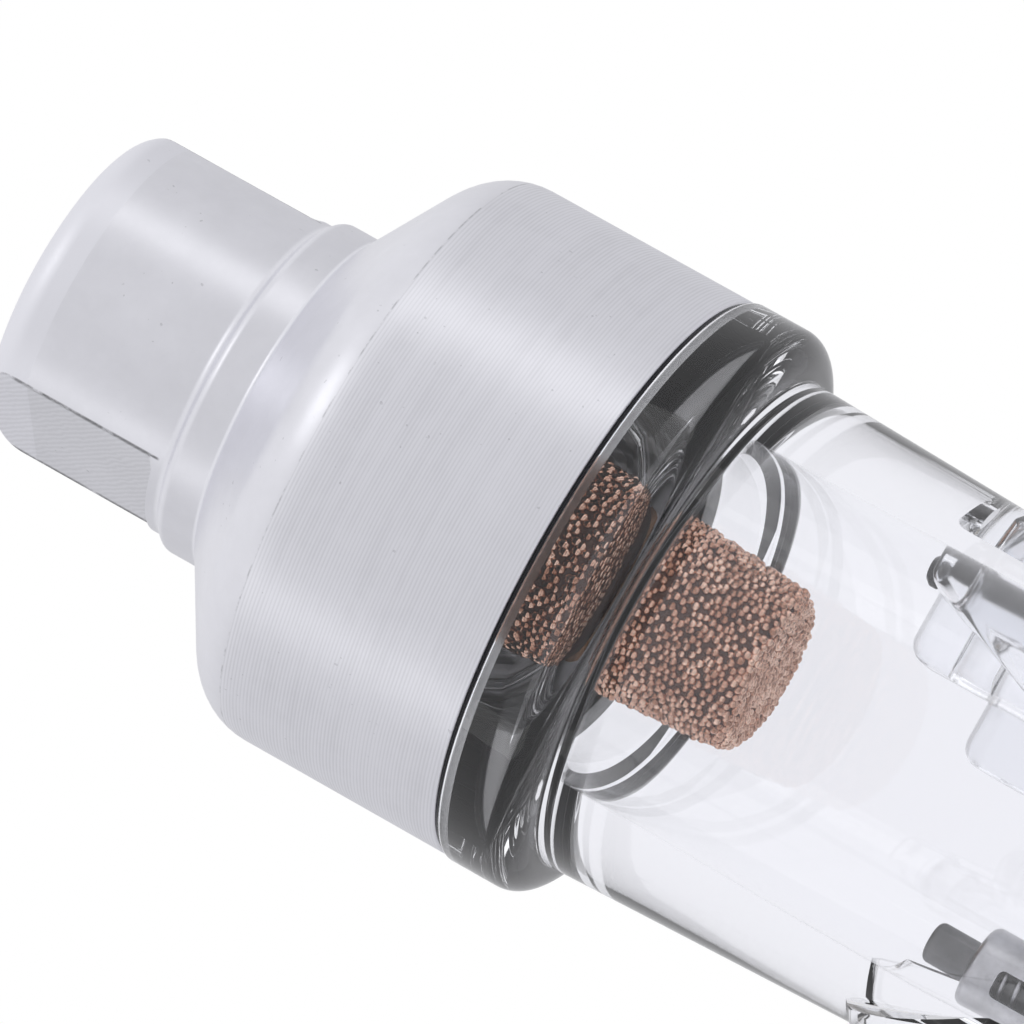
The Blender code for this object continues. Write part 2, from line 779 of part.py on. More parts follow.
def make_drain_spring(parts, axis):
    disc_top = seat_z + gap + valve_seal_height + gap + valve_disc_height
    roof_z = cage_top_z - cage_roof
    low = disc_top + gap + spring_wire_radius
    high = roof_z - gap - spring_wire_radius
    per_turn = 12
    count = spring_turns * per_turn
    curve = bpy.data.curves.new("drain_spring", "CURVE")
    curve.dimensions = "3D"
    curve.bevel_depth = spring_wire_radius
    curve.bevel_resolution = 1
    curve.use_fill_caps = True
    spline = curve.splines.new("POLY")
    spline.points.add(count)
    for i in range(count + 1):
        turn = math.tau * i / per_turn
        rise = low + (high - low) * i / count
        x = spring_radius * math.cos(turn)
        y = spring_radius * math.sin(turn)
        spline.points[i].co = (x, y, rise, 1.0)
    spring = bpy.data.objects.new("drain_spring", curve)
    place(spring, parts, ((0.70, 0.70, 0.71), 0.3, 1.0), axis)


def main():
    clear_scene()
    parts = new_collection("inline_gas_filter")
    helpers = new_collection("cutters")
    drain_axis = bpy.data.objects.new("drain_axis", None)
    drain_axis.location = (drain_x, drain_y, 0)
    parts.objects.link(drain_axis)
    make_head(parts, helpers)
    make_inlet_washer(parts)
    make_element(parts, helpers)
    make_bowl_seal(parts)
    make_bowl(parts, helpers, drain_axis)
    make_riser_plug(parts)
    make_outlet(parts, helpers)
    make_drain_body(parts, helpers, drain_axis)
    make_drain_plunger(parts, drain_axis)
    make_drain_spring(parts, drain_axis)


main()
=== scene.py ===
import math
import random

import bmesh
import bpy
import numpy as np
from mathutils import Matrix, Vector


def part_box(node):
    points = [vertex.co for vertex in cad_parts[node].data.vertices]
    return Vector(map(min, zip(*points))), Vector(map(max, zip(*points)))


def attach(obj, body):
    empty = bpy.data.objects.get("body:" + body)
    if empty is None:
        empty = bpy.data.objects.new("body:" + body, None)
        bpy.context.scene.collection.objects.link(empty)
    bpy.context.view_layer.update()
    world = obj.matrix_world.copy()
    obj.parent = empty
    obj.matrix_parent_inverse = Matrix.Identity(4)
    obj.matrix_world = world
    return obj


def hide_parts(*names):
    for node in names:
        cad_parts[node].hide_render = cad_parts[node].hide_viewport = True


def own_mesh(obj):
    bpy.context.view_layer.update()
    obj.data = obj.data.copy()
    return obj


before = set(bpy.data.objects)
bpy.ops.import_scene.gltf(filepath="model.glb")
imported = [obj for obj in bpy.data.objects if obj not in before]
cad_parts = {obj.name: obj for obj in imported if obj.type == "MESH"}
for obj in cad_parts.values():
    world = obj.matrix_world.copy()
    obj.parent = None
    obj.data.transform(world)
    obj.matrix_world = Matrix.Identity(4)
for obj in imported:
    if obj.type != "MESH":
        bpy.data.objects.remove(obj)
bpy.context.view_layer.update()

print("stage: frame loaded,", len(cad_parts), "nodes")

# Places that everything else hangs from, read from the frame
headLow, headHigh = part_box("head")
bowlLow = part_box("bowl")[0]
rimZ = headLow.z                  # lower rim of the metal head
flangeZ = rimZ - 0.0001           # top of the clear flange
footZ = bowlLow.z                 # underside of the bowl
headLength = (headHigh.z - rimZ) * 1000
bowlLength = (flangeZ - footZ) * 1000


def startClean():
    if bpy.context.mode != "OBJECT":
        bpy.ops.object.mode_set(mode="OBJECT")
    bpy.ops.object.select_all(action="DESELECT")


def openEdit(piece, pickBy="FACE"):
    startClean()
    bpy.context.view_layer.objects.active = piece
    piece.select_set(True)
    bpy.ops.object.mode_set(mode="EDIT")
    bpy.ops.mesh.select_mode(type=pickBy)
    bpy.ops.mesh.select_all(action="DESELECT")


def pickFaces(piece, wanted):
    shape = bmesh.from_edit_mesh(piece.data)
    shape.faces.ensure_lookup_table()
    for face in shape.faces:
        face.select_set(bool(wanted(face.calc_center_median(), face.normal)))
    bmesh.update_edit_mesh(piece.data)


def closeEdit(piece, tidy=True):
    if tidy:
        bpy.ops.mesh.select_all(action="SELECT")
        bpy.ops.mesh.remove_doubles(threshold=0.0000015)
        bpy.ops.mesh.normals_make_consistent(inside=False)
    bpy.ops.object.mode_set(mode="OBJECT")
    return piece


def settle(piece, name):
    piece.name = name
    piece.data.name = name
    return piece


def smoothShade(piece, degrees=32):
    startClean()
    bpy.context.view_layer.objects.active = piece
    piece.select_set(True)
    bpy.ops.object.shade_smooth_by_angle(angle=math.radians(degrees))
    piece.select_set(False)
    return piece


def softOutline(corners, steps=4):
    points = []
    count = len(corners)
    for i, corner in enumerate(corners):
        here = Vector(corner[:2])
        fillet = corner[2] if len(corner) > 2 else 0
        before = Vector(corners[i - 1][:2]) - here
        after = Vector(corners[(i + 1) % count][:2]) - here
        if not fillet or before.length < 1e-9 or after.length < 1e-9:
            points.append(tuple(here))
            continue
        turn = before.angle(after)
        reach = min(fillet / math.tan(turn / 2), 0.49 * before.length, 0.49 * after.length)
        radius = reach * math.tan(turn / 2)
        towards = (before.normalized() + after.normalized()).normalized()
        centre = here + towards * (radius / math.sin(turn / 2))
        first = here + before.normalized() * reach - centre
        last = here + after.normalized() * reach - centre
        sweep = first.angle_signed(last)
        for k in range(steps + 1):
            angle = -sweep * k / steps
            c, s = math.cos(angle), math.sin(angle)
            points.append((centre.x + first.x * c - first.y * s, centre.y + first.x * s + first.y * c))
    return points


def turnPiece(name, corners, baseZ, steps=160, arcSteps=4):
    outline = softOutline(corners, arcSteps)
    startClean()
    bpy.ops.mesh.primitive_circle_add(vertices=len(outline), radius=0.01)
    piece = bpy.context.active_object
    for vertex, (radius, height) in zip(piece.data.vertices, outline):
        vertex.co = (max(radius, 0) / 1000, 0, baseZ + height / 1000)
    openEdit(piece, "VERT")
    bpy.ops.mesh.select_all(action="SELECT")
    bpy.ops.mesh.spin(steps=steps, angle=math.tau, center=(0, 0, 0), axis=(0, 0, 1))
    closeEdit(piece)
    return settle(piece, name)


def wallPoints(radius, low, high, pitch, perTurn=10):
    count = max(2, round(abs(high - low) / pitch * perTurn))
    return [(radius, low + (high - low) * i / count) for i in range(1, count)]


def cutThread(piece, baseZ, radius, low, high, pitch, depth, fade=0.6):
    for vertex in piece.data.vertices:
        x, y, z = vertex.co
        r = math.hypot(x, y) * 1000
        h = (z - baseZ) * 1000
        if abs(r - radius) > 0.02 or not low < h < high:
            continue
        phase = (h / pitch - math.atan2(y, x) / math.tau) % 1
        ridge = min(1, max(0, abs(phase * 2 - 1) * 1.5 - 0.25))
        blend = min(1, (h - low) / fade, (high - h) / fade)
        k = (r + depth * ridge * blend) / r
        vertex.co = (x * k, y * k, z)
    piece.data.update()
    return piece


def applyChange(piece, kind, **values):
    startClean()
    bpy.context.view_layer.objects.active = piece
    piece.select_set(True)
    change = piece.modifiers.new(kind.lower(), kind)
    for key, value in values.items():
        setattr(change, key, value)
    bpy.ops.object.modifier_apply(modifier=change.name)
    return piece


def merge(piece, other, operation):
    applyChange(piece, "BOOLEAN", operation=operation, solver="EXACT", object=other)
    bpy.data.objects.remove(other, do_unlink=True)
    return piece


def block(low, high, edge=0.0, segments=4):
    startClean()
    middle = [(a + b) / 2000 for a, b in zip(low, high)]
    size = [(b - a) / 1000 for a, b in zip(low, high)]
    bpy.ops.mesh.primitive_cube_add(size=1, location=middle, scale=size)
    bpy.ops.object.transform_apply(location=True, rotation=True, scale=True)
    piece = bpy.context.active_object
    if edge:
        openEdit(piece, "EDGE")
        bpy.ops.mesh.select_all(action="SELECT")
        bpy.ops.mesh.bevel(offset=edge / 1000, segments=segments, affect="EDGES")
        closeEdit(piece)
    return piece


def bar(radius, start, end, sides=48, edge=0.0):
    startClean()
    a, b = Vector(start) / 1000, Vector(end) / 1000
    axis = b - a
    bpy.ops.mesh.primitive_cylinder_add(
        vertices=sides, radius=radius / 1000, depth=axis.length,
        location=(a + b) / 2, rotation=axis.to_track_quat("Z", "Y").to_euler())
    bpy.ops.object.transform_apply(location=True, rotation=True, scale=True)
    piece = bpy.context.active_object
    if edge:
        openEdit(piece)
        direction = axis.normalized()
        pickFaces(piece, lambda centre, normal: abs(normal.dot(direction)) > 0.9)
        bpy.ops.mesh.bevel(offset=edge / 1000, segments=3, affect="EDGES")
        closeEdit(piece)
    return piece


def turnAbout(piece, angle):
    piece.data.transform(Matrix.Rotation(angle, 4, "Z"))
    return piece


def shiftTo(piece, x, y, z=0.0):
    piece.data.transform(Matrix.Translation((x, y, z)))
    return piece


def finishPiece(piece, body, look, slot, *nodes, degrees=32):
    smoothShade(piece, degrees)
    piece.data.materials.clear()
    piece.data.materials.append(look)
    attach(piece, body)
    if nodes:
        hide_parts(*nodes)
    return piece


class Wire:

    def __init__(self, net, socket):
        self.net = net
        self.socket = socket

    def maths(self, operation, first, second=None):
        values = {0: first} if second is None else {0: first, 1: second}
        return self.net.add("ShaderNodeMath", {"operation": operation}, values)

    def __add__(self, other):
        return self.maths("ADD", self, other)

    __radd__ = __add__

    def __sub__(self, other):
        return self.maths("SUBTRACT", self, other)

    def __rsub__(self, other):
        return self.maths("SUBTRACT", other, self)

    def __mul__(self, other):
        return self.maths("MULTIPLY", self, other)

    __rmul__ = __mul__

    def __truediv__(self, other):
        return self.maths("DIVIDE", self, other)

    def __pow__(self, other):
        return self.maths("POWER", self, other)

    def __abs__(self):
        return self.maths("ABSOLUTE", self)

    def wave(self):      # a sine that runs from 0 to 1
        return self.maths("SINE", self) * 0.5 + 0.5


class Net:

    def __init__(self, tree):
        self.tree = tree

    def feed(self, target, value):
        if isinstance(value, Wire):
            self.tree.links.new(value.socket, target)
        else:
            target.default_value = value

    def add(self, kind, settings=None, sockets=None, output=0):
        node = self.tree.nodes.new(kind)
        for key, value in (settings or {}).items():
            setattr(node, key, value)
        for key, value in (sockets or {}).items():
            self.feed(node.inputs[key], value)
        return Wire(self, node.outputs[output])

    def step(self, value, low, high):
        return self.add("ShaderNodeMapRange", {"interpolation_type": "SMOOTHSTEP"},
                        {"Value": value, "From Min": low, "From Max": high})

    def above(self, value, limit, blend):      # 0 up to the limit, 1 past the blend, both in mm
        return self.step(value, limit / 1000, (limit + blend) / 1000)

    def below(self, value, limit, blend):      # 1 up to the limit, 0 past the blend, both in mm
        return self.step(value, (limit + blend) / 1000, limit / 1000)

    def mix(self, share, first, second):
        colors = {"Factor": share, 6: first, 7: second}
        return self.add("ShaderNodeMix", {"data_type": "RGBA"}, colors, 2)


class Look(Net):

    def __init__(self, name, color, roughness, metallic=0.0, **fixed):
        self.material = bpy.data.materials.new(name)
        self.material.use_nodes = True
        super().__init__(self.material.node_tree)
        self.shader = self.tree.nodes["Principled BSDF"]
        self.put("Base Color", (*color, 1))
        self.put("Roughness", roughness)
        self.put("Metallic", metallic)
        for key, value in fixed.items():
            self.put(key.replace("_", " "), value)

    def put(self, socket, value):
        self.feed(self.shader.inputs[socket], value)

    def place(self):
        where = self.add("ShaderNodeTexCoord", output="Object")
        self.where = where
        return [self.add("ShaderNodeSeparateXYZ", {}, {0: where}, i) for i in range(3)]

    def noise(self, size, detail=3.0, roughness=0.55, stretch=(1, 1, 1)):
        spot = self.add("ShaderNodeMapping", {}, {"Vector": self.where, "Scale": stretch})
        return self.add("ShaderNodeTexNoise", {},
                        {"Vector": spot, "Scale": 1 / size, "Detail": detail, "Roughness": roughness})

    def bump(self, height, distance, strength=1.0):
        return self.add("ShaderNodeBump", {},
                        {"Height": height, "Distance": distance, "Strength": strength})


def aluminiumLook():
    finish = {"outside": 13.1, "turnedTop": 10.85, "feed": 0.168, "flatAngle": 200, "flatReach": 6.5,
              "flatHalf": 3.85, "millRate": 17000, "bossFoot": 18.1, "endBand": 2.1, "corner": 15.58,
              "shadeRadius": 12.85, "shadeTop": 8.5}
    look = Look("headAluminium", (0.8, 0.8, 0.83), 0.3, 1.0)
    x, y, z = look.place()
    height = z - rimZ
    radius = (x * x + y * y) ** 0.5
    outside = look.above(radius, finish["outside"], 0.25)
    turned = look.below(height, finish["turnedTop"] - 0.03, 0.06) * outside
    wander = look.noise(0.006, 2.0, 0.5, (1, 1, 2))
    lines = (height + wander * 0.00012) * (math.tau * 1000 / finish["feed"])
    ridges = lines.wave()
    uneven = look.noise(0.0005, 3.0, 0.6, (0.05, 0.05, 1))
    a = math.radians(finish["flatAngle"])
    reach = abs(x * math.cos(a) + y * math.sin(a)) - finish["flatReach"] / 1000
    along = x * -math.sin(a) + y * math.cos(a)
    onBoss = look.above(height, finish["bossFoot"], 0.2)
    blotch = look.noise(0.0035, 4.0, 0.6)
    cloud = look.noise(0.0011, 4.0, 0.65)
    fine = look.noise(0.00016, 3.0, 0.65)
    # a patchy darker line along the side edges of each flat
    flatEdgeLine = look.below(abs(reach), 0.01, 0.05) * look.above(abs(along), finish["flatHalf"] - 0.25, 0.25)
    flatEdgeLine = flatEdgeLine * onBoss * look.step(cloud, 0.3, 0.55)
    mill = ((along * 0.8 + z) * finish["millRate"] + cloud * 9).wave()
    flatHere = look.below(abs(reach), 0.015, 0.015) * look.below(abs(along), finish["flatHalf"], 0.35)
    flatHere = flatHere * onBoss
    specks = look.step(look.noise(0.0003, 1.0, 0.4), 0.745, 0.775) * look.step(blotch, 0.5, 0.58)
    seam = look.below(abs(height - finish["turnedTop"] / 1000), 0.01, 0.05) * outside
    seam = seam * look.step(cloud, 0.45, 0.62)
    endBand = look.above(z + finish["endBand"] / 1000, -0.03, 0.06) * onBoss
    # painted highlight: a lighter line round the corner where the collar meets the cone
    corner = look.below(abs(height - finish["corner"] / 1000), 0.04, 0.12)
    # painted shade: inside the head, within the shade radius and below the shade top, the colour is
    # darkened by up to 80%
    shaded = look.below(radius, finish["shadeRadius"], 0.15) * look.below(height, finish["shadeTop"], 1.0)
    tone = 0.955 + (blotch - 0.5) * 0.1 + (cloud - 0.5) * 0.08
    tone = tone + (ridges - 0.5) * turned * (0.06 + uneven * 0.14)
    tone = tone + (uneven - 0.5) * turned * 0.16 + endBand * 0.09 + corner * 0.12
    tone = tone - specks * 0.2 - flatEdgeLine * 0.6 - seam * 0.3 - flatHere * (mill * 0.09 + cloud * 0.12)
    tone = tone * (1 - shaded * 0.8)
    look.put("Base Color", look.mix(tone, (0.0, 0.0, 0.0, 1), (0.83, 0.83, 0.87, 1)))
    look.put("Roughness", 0.29 + fine * 0.1 + turned * uneven * 0.06 + endBand * 0.12)
    relief = ridges * turned * (0.3 + uneven * 0.7) + (fine - 0.5) * (1 - turned) * 0.5 + mill * flatHere
    look.put("Normal", look.bump(relief, 0.000004, 0.5))
    return look.material


def clearLook():
    haze = {"reach": 8.45, "top": 12.8, "polished": 0.004, "hazy": 0.14}
    look = Look("bowlClearPlastic", (0.985, 0.985, 0.995), 0.015, 0.0, IOR=1.58, Transmission_Weight=1.0)
    x, y, z = look.place()
    radius = (x * x + y * y) ** 0.5
    inside = look.below(radius, haze["reach"] - 0.05, 0.05)
    low = look.below(z - flangeZ, -(haze["top"] + 0.1), 0.1)
    cloud = look.noise(0.002, 3.0)
    flow = look.noise(0.006, 2.0, 0.5, (1, 1, 0.35))
    look.put("Base Color", look.mix(inside * low, (0.985, 0.985, 0.993, 1), (0.93, 0.94, 0.965, 1)))
    look.put("Roughness", haze["polished"] + cloud * 0.01 + inside * low * haze["hazy"])
    look.put("Normal", look.bump(flow, 0.00005, 0.3))
    return look.material


def bronzeLook():
    look = Look("sinteredBronze", (0.42, 0.25, 0.18), 0.2, 1.0)
    look.place()
    patch = look.noise(0.0013, 3.0, 0.6)
    each = look.noise(0.00035, 1.0, 0.4)
    warm = look.mix(look.step(patch, 0.3, 0.7), (0.55, 0.30, 0.205, 1), (0.86, 0.60, 0.47, 1))
    look.put("Base Color", look.mix(look.step(each, 0.28, 0.6), (0.36, 0.17, 0.105, 1), warm))
    look.put("Roughness", 0.1 + each * 0.12)
    look.put("Normal", look.bump(look.noise(0.00012, 2.0), 0.000005, 0.3))
    return look.material


# painted shade: the core under the grains is coloured near black, so the gaps between grains read as pores
# in shadow
def poreShadeLook():
    look = Look("poreShadeCore", (0.05, 0.025, 0.018), 0.7, 0.4)
    look.place()
    grain = look.noise(0.00025, 3.0, 0.6)
    look.put("Base Color", look.mix(grain, (0.05, 0.018, 0.01, 1), (0.22, 0.09, 0.055, 1)))
    look.put("Normal", look.bump(grain, 0.0001, 1.0))
    return look.material


def rubberLook():
    look = Look("blackRubber", (0.012, 0.012, 0.014), 0.34, Specular_IOR_Level=0.25)
    look.place()
    skin = look.noise(0.0003, 4.0, 0.6)
    shade = look.noise(0.002, 3.0)
    look.put("Base Color", look.mix(shade, (0.006, 0.006, 0.009, 1), (0.014, 0.014, 0.018, 1)))
    look.put("Roughness", 0.24 + skin * 0.04)
    look.put("Normal", look.bump(skin, 0.000002, 0.2))
    return look.material


def turnedMetalLook(name, dark, light, roughness, feed):
    look = Look(name, light, roughness, 1.0)
    x, y, z = look.place()
    wobble = look.noise(0.003, 2.0)
    run = (z + wobble * 0.00005) * (math.tau / feed)
    rings = run.wave()
    stain = look.noise(0.0022, 4.0, 0.6)
    fine = look.noise(0.0002, 3.0, 0.6)
    tone = look.step(stain + fine * 0.3, 0.35, 0.95)
    look.put("Base Color", look.mix(tone, (*dark, 1), (*light, 1)))
    look.put("Roughness", roughness + fine * 0.12 - rings * 0.03)
    look.put("Normal", look.bump(rings * 0.6 + fine * 0.5, 0.000003, 0.6))
    return look.material


def fibreLook():
    look = Look("redFibre", (0.33, 0.1, 0.07), 0.8)
    look.place()
    strands = look.noise(0.0004, 4.0, 0.7, (1, 1, 4))
    look.put("Base Color", look.mix(strands, (0.24, 0.06, 0.04, 1), (0.42, 0.15, 0.10, 1)))
    look.put("Normal", look.bump(strands, 0.00005, 0.6))
    return look.material


def nylonLook():
    look = Look("whiteNylon", (0.85, 0.84, 0.8), 0.45, 0.0, Subsurface_Weight=0.1)
    look.place()
    cloud = look.noise(0.003, 3.0)
    look.put("Base Color", look.mix(cloud, (0.80, 0.79, 0.74, 1), (0.90, 0.89, 0.86, 1)))
    look.put("Roughness", 0.38 + cloud * 0.12)
    look.put("Normal", look.bump(look.noise(0.0002, 3.0), 0.00001, 0.4))
    return look.material


looks = {
    "aluminium": aluminiumLook(),
    "clear": clearLook(),
    "bronze": bronzeLook(),
    "shadedCore": poreShadeLook(),
    "rubber": rubberLook(),
    "nickel": turnedMetalLook("nickelPlate", (0.58, 0.56, 0.53), (0.80, 0.78, 0.74), 0.22, 0.00011),
    "steel": turnedMetalLook("stainlessSteel", (0.34, 0.34, 0.35), (0.58, 0.58, 0.60), 0.28, 0.00009),
    "stem": turnedMetalLook("dullStem", (0.13, 0.13, 0.135), (0.24, 0.24, 0.245), 0.5, 0.00009),
    "brass": turnedMetalLook("turnedBrass", (0.52, 0.36, 0.14), (0.80, 0.61, 0.30), 0.26, 0.00012),
    "aged": turnedMetalLook("agedBrass", (0.16, 0.085, 0.045), (0.30, 0.17, 0.10), 0.35, 0.00012),
    "fibre": fibreLook(),
    "nylon": nylonLook(),
}
print("stage: materials", len(looks))


def makeHead():
    sizes = {"radius": 13.5, "coneTop": 15.58, "coneMeets": 11.97, "shoulder": 3.3, "collar": 8.05,
             "collarTop": 17.68, "boss": 7.6, "bossEdge": 2.7, "mouth": 4.9, "bore": 4.3,
             "boreDepth": 9.4, "pitch": 0.907, "threadDepth": 0.54, "throat": 2.4,
             "pocket": 12.8, "pocketDepth": 2.3, "bowlBore": 11.05, "chamber": 8.9, "carrierBore": 4.15,
             "carrierTop": 13.2, "flatsApart": 13.0, "flatsLength": 8.6, "flatsAngle": 200}
    s = sizes
    top = headLength
    seat = top - s["boreDepth"]
    corners = [(s["mouth"], top, 0.08), (s["boss"], top, s["bossEdge"]),
               (s["boss"], s["collarTop"] + 0.1, 0.5), (s["collar"], s["collarTop"] - 0.3, 0.5),
               (s["collar"], s["coneTop"], 0.3), (s["radius"], s["coneMeets"], s["shoulder"])]
    corners += [(s["radius"], 8 - 2 * i) for i in range(4)]
    corners += [(s["radius"], 0, 0.22), (s["pocket"], 0, 0.12), (s["pocket"], s["pocketDepth"], 0.3),
                (s["bowlBore"], s["pocketDepth"], 0.25)]
    corners += wallPoints(s["bowlBore"], s["pocketDepth"] + 0.4, s["chamber"] - 0.6, 1.0, 8)
    corners += [(s["bowlBore"], s["chamber"], 0.4), (s["carrierBore"], s["chamber"], 0.3),
                (s["carrierBore"], s["carrierTop"], 0.2), (s["throat"], s["carrierTop"], 0.2),
                (s["throat"], seat, 0.15), (s["bore"], seat, 0.2)]
    corners += wallPoints(s["bore"], seat + 1.2, top - 0.7, s["pitch"], 10)
    corners += [(s["bore"], top - 0.6, 0.05)]
    head = turnPiece("headShell", corners, rimZ, 192, 8)
    cutThread(head, rimZ, s["bore"], seat + 1.0, top - 0.45, s["pitch"], s["threadDepth"], 0.5)
    cutThread(head, rimZ, s["bowlBore"], s["pocketDepth"] + 0.3, s["chamber"] - 0.5, 1.0, 0.3, 0.5)
    for side in (0, 1):
        cutter = block((s["flatsApart"] / 2, -12, -s["flatsLength"]), (20, 12, 6), 0.35, 3)
        turnAbout(cutter, math.radians(s["flatsAngle"]) + side * math.pi)
        merge(head, cutter, "DIFFERENCE")
    return finishPiece(head, "head_body", looks["aluminium"], "aluminium_head", "head", degrees=28)


makeHead()
print("stage: head")


def scatter(outline, apart, tries, dice):
    bands = []
    for (r0, h0), (r1, h1) in zip(outline, outline[1:]):
        bands.append(((r0, h0, r1, h1), (r0 + r1) * math.hypot(r1 - r0, h1 - h0)))
    cells, spots = {}, []
    chosen = dice.choices([b[0] for b in bands], [b[1] for b in bands], k=tries)
    for r0, h0, r1, h1 in chosen:
        share = dice.random()
        if r1 > r0 + 0.01:
            share = (math.sqrt(r0 * r0 + share * (r1 * r1 - r0 * r0)) - r0) / (r1 - r0)
        r, turn = r0 + (r1 - r0) * share, dice.random() * math.tau
        x, y, h = r * math.cos(turn), r * math.sin(turn), h0 + (h1 - h0) * share
        i, j, k = (int(math.floor(v / apart)) for v in (x, y, h))
        near = (q for di in (-1, 0, 1) for dj in (-1, 0, 1) for dk in (-1, 0, 1)
                for q in cells.get((i + di, j + dj, k + dk), ()))
        if all((x - a) ** 2 + (y - b) ** 2 + (h - c) ** 2 > apart ** 2 for a, b, c in near):
            cells.setdefault((i, j, k), []).append((x, y, h))
            spots.append((x, y, h))
    return sorted(spots, key=lambda spot: spot[2])


def ballShape(radius):
    startClean()
    bpy.ops.mesh.primitive_uv_sphere_add(segments=10, ring_count=6, radius=radius / 1000)
    ball = bpy.context.active_object
    points = np.array([v.co for v in ball.data.vertices])
    faces = [list(p.vertices) for p in ball.data.polygons]
    bpy.data.objects.remove(ball, do_unlink=True)
    return points, faces


def makeGrains(name, spots, s, baseZ, points, faces, dice):
    vertices, polygons = [], []
    for x, y, h in spots:
        scale = dice.uniform(s["smallest"], s["largest"])
        tilt = Vector((dice.uniform(-1, 1), dice.uniform(-1, 1), 1))
        spin = np.array(Matrix.Rotation(dice.uniform(0, 3), 3, tilt))
        sink = dice.gauss(s["sink"], s["sinkSpread"])
        around = math.hypot(x, y) or 1
        centre = np.array([x + sink * x / around, y + sink * y / around, h + sink]) / 1000
        base = len(vertices)
        vertices += [tuple(p) for p in (points * scale) @ spin.T + centre + np.array([0, 0, baseZ])]
        polygons += [[base + i for i in face] for face in faces]
    mesh = bpy.data.meshes.new(name)
    mesh.from_pydata(vertices, [], polygons)
    skin = bpy.data.objects.new(name, mesh)
    bpy.context.scene.collection.objects.link(skin)
    finishPiece(skin, "head_body", looks["bronze"], "sintered_bronze", degrees=180)


def makeElement():
    low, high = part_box("filter_element")
    sizes = {"topRadius": 4.82, "endRadius": 3.76, "length": (high.z - low.z) * 1000, "wall": 1.1,
             "floor": 1.3, "edge": 0.55, "under": 0.04, "intoHead": 2.4, "grain": 0.2, "apart": 0.27,
             "tries": 120000, "smallest": 0.82, "largest": 1.12, "sink": -0.02, "sinkSpread": 0.035}
    s = sizes
    corners = [(s["topRadius"] - s["under"], s["length"], 0.2),
               (s["endRadius"] - s["under"], s["under"], s["edge"]), (0, s["under"]),
               (0, s["floor"]), (s["endRadius"] - s["wall"], s["floor"], 0.5),
               (s["topRadius"] - s["wall"], s["length"], 0.1)]
    # the core's near-black colour is painted shade for the pores between the grains
    shadedCore = turnPiece("elementShadedCore", corners, low.z, 96)
    finishPiece(shadedCore, "head_body", looks["shadedCore"], "sintered_bronze", "filter_element")

    # the skin's outline: across the end, round its edge, then up the side into the head
    skinTop = (rimZ + s["intoHead"] / 1000 - low.z) * 1000
    edge, end = s["edge"], s["endRadius"]
    outline = [(0, 0), (end - edge, 0)]
    outline += [(end - edge + edge * math.sin(t), edge - edge * math.cos(t))
                for t in (math.pi / 12 * i for i in range(1, 7))]
    outline += [(end + (s["topRadius"] - end) * skinTop / s["length"], skinTop)]
    points, faces = ballShape(s["grain"])
    dice = random.Random(7)
    spots = scatter(outline, s["apart"], s["tries"], dice)
    half = len(spots) // 2
    makeGrains("elementGrainsEnd", spots[:half], s, low.z, points, faces, dice)
    makeGrains("elementGrainsSide", spots[half:], s, low.z, points, faces, dice)
    print("grains", len(spots))


makeElement()
print("stage: element")


def up(depth):      # a depth below the flange's top, as a height above the foot
    return bowlLength - depth


def at(depth):      # the same depth, as a height in the frame
    return flangeZ * 1000 - depth


def bowlOutline(s):
    corners = [(s["neckBore"], up(-s["neckTop"]), 0.15), (s["neck"] - 0.5, up(-s["neckTop"]), 0.1),
               (s["neck"], up(-s["neckTop"] + 0.5), 0.1)]
    corners += wallPoints(s["neck"], up(-s["neckTop"] + 0.7), up(-s["landTop"] - 0.2), s["pitch"], 10)
    corners += [(s["neck"], up(-s["landTop"]), 0.1), (s["neckLand"], up(-s["landTop"] + 0.25), 0.15),
                (s["neckLand"], up(0), 0.2), (s["flange"], up(0), 0.25),
                (s["flange"], up(s["band"] / 2)), (s["flange"], up(s["band"]))]
    beadIn = s["flange"] - s["wallTop"] - 0.12
    for i in range(1, 15):
        turn = math.radians(87 * i / 14)
        corners.append((s["flange"] - beadIn * (1 - math.cos(turn)),
                        up(s["band"] + s["bead"] * math.sin(turn))))
    wallStart = s["band"] + s["bead"] + 0.05
    corners += [(s["wallTop"], up(wallStart), 0.15)]
    wallStart += 0.6
    wallRun = bowlLength - wallStart - s["footEdge"]
    corners += [(s["wallTop"] + (s["wallFoot"] - s["wallTop"]) * i / 8, up(wallStart + wallRun * i / 8))
                for i in range(8)]
    corners += [(s["wallFoot"], 0, s["footEdge"]), (s["pocket"], 0, 0.1),
                (s["pocket"], s["pocketTop"], 0.1), (s["outletBore"], s["pocketTop"]),
                (s["outletBore"], up(s["depth"])), (s["bore"], up(s["depth"]), 0.8),
                (s["bore"], up(s["step"] + 0.45), 0.2), (s["neckBore"], up(s["step"]), 0.2)]
    return corners


